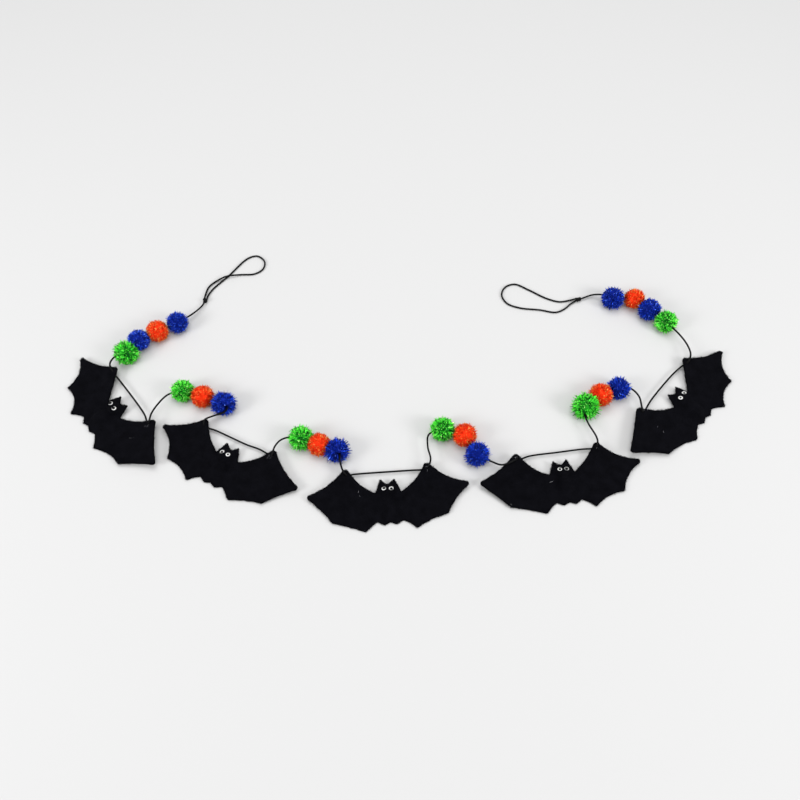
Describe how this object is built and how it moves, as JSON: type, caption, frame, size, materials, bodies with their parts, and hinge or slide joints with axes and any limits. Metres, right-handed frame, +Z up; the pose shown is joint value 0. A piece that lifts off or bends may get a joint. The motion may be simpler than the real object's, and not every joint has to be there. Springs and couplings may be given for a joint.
{
  "type": "flocked bat garland",
  "caption": "Garland of black flocked bats with dome eyes on one black cord, with tinsel pompoms in green, orange and blue between them and a knotted loop at each end",
  "frame": {"origin": "on the surface the garland lies on, under the middle of the box round the bats, eyes and pompoms", "axes": "+X along the row of bats from the left end of the cord to the right end, +Y towards the bats' heads and the inside of the U, +Z up from the surface"},
  "size_m": [0.7502, 0.3574, 0.0231],
  "materials": {
    "flock": "short black flock pile with a faint blue cast",
    "cord": "smooth waxed black cord",
    "eye": "clear glossy dome over a white disc with a loose black pupil",
    "tinsel_blue": "shiny metallised film cut in fine strips",
    "tinsel_orange": "shiny metallised film cut in fine strips",
    "tinsel_green": "shiny metallised film cut in fine strips"
  },
  "bodies": {
    "root": {"cord_main": "cord", "cord_loop_left": "cord", "cord_loop_right": "cord", "knot_left": "cord", "knot_right": "cord", "bat_1": "flock", "eye_1_left": "eye", "eye_1_right": "eye", "bat_2": "flock", "eye_2_left": "eye", "eye_2_right": "eye", "bat_3": "flock", "eye_3_left": "eye", "eye_3_right": "eye", "bat_4": "flock", "eye_4_left": "eye", "eye_4_right": "eye", "bat_5": "flock", "eye_5_left": "eye", "eye_5_right": "eye", "pompom_a1_blue": "tinsel_blue", "pompom_a2_orange": "tinsel_orange", "pompom_a3_blue": "tinsel_blue", "pompom_a4_green": "tinsel_green", "pompom_b1_green": "tinsel_green", "pompom_b2_orange": "tinsel_orange", "pompom_b3_blue": "tinsel_blue", "pompom_c1_green": "tinsel_green", "pompom_c2_orange": "tinsel_orange", "pompom_c3_blue": "tinsel_blue", "pompom_d1_green": "tinsel_green", "pompom_d2_orange": "tinsel_orange", "pompom_d3_blue": "tinsel_blue", "pompom_e1_green": "tinsel_green", "pompom_e2_orange": "tinsel_orange", "pompom_e3_blue": "tinsel_blue", "pompom_f1_green": "tinsel_green", "pompom_f2_blue": "tinsel_blue", "pompom_f3_orange": "tinsel_orange", "pompom_f4_blue": "tinsel_blue"}
  },
  "joints": []
}
